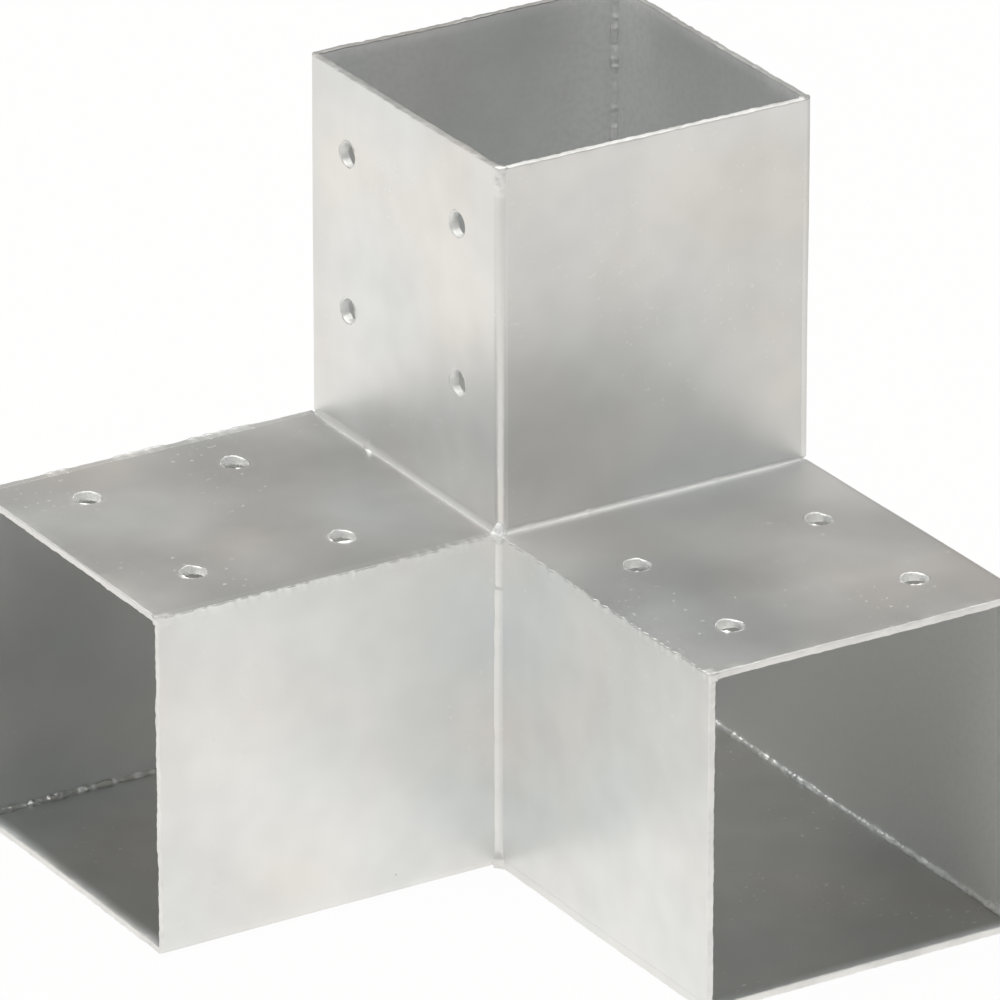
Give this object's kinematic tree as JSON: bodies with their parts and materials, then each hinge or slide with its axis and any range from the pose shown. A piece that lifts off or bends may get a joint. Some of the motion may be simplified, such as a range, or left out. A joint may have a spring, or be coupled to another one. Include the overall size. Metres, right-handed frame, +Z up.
{
  "type": "y-shaped post connector",
  "caption": "Galvanised sheet-steel corner connector: square open sockets at right angles take an upright post and beams, with screw holes in some of the socket faces.",
  "frame": {"origin": "in the bottom face, under the centreline of the upright socket", "axes": "+Z up the upright, -X out along the left arm, -Y out along the right arm"},
  "size_m": [0.196, 0.196, 0.196],
  "materials": {
    "galvanised_sheet": "hot-dip galvanised sheet steel, satin, lightly mottled",
    "weld_bead": "galvanised weld bead, lumpy, brighter than the sheet"
  },
  "bodies": {
    "root": {"base_sheet": "galvanised_sheet", "side_sheet": "galvanised_sheet", "rear_sheet": "galvanised_sheet", "right_arm_cover": "galvanised_sheet", "upright_cover": "galvanised_sheet", "left_arm_cover": "galvanised_sheet", "left_arm_near_weld": "weld_bead", "right_arm_near_weld": "weld_bead", "upright_near_weld": "weld_bead", "right_arm_cover_weld": "weld_bead", "upright_cover_weld": "weld_bead", "left_arm_cover_weld": "weld_bead", "rear_base_weld": "weld_bead", "side_base_weld": "weld_bead", "rear_side_weld": "weld_bead", "arms_fillet_weld": "weld_bead", "right_arm_fillet_weld": "weld_bead", "left_arm_fillet_weld": "weld_bead", "weld_knot": "weld_bead"}
  },
  "joints": []
}
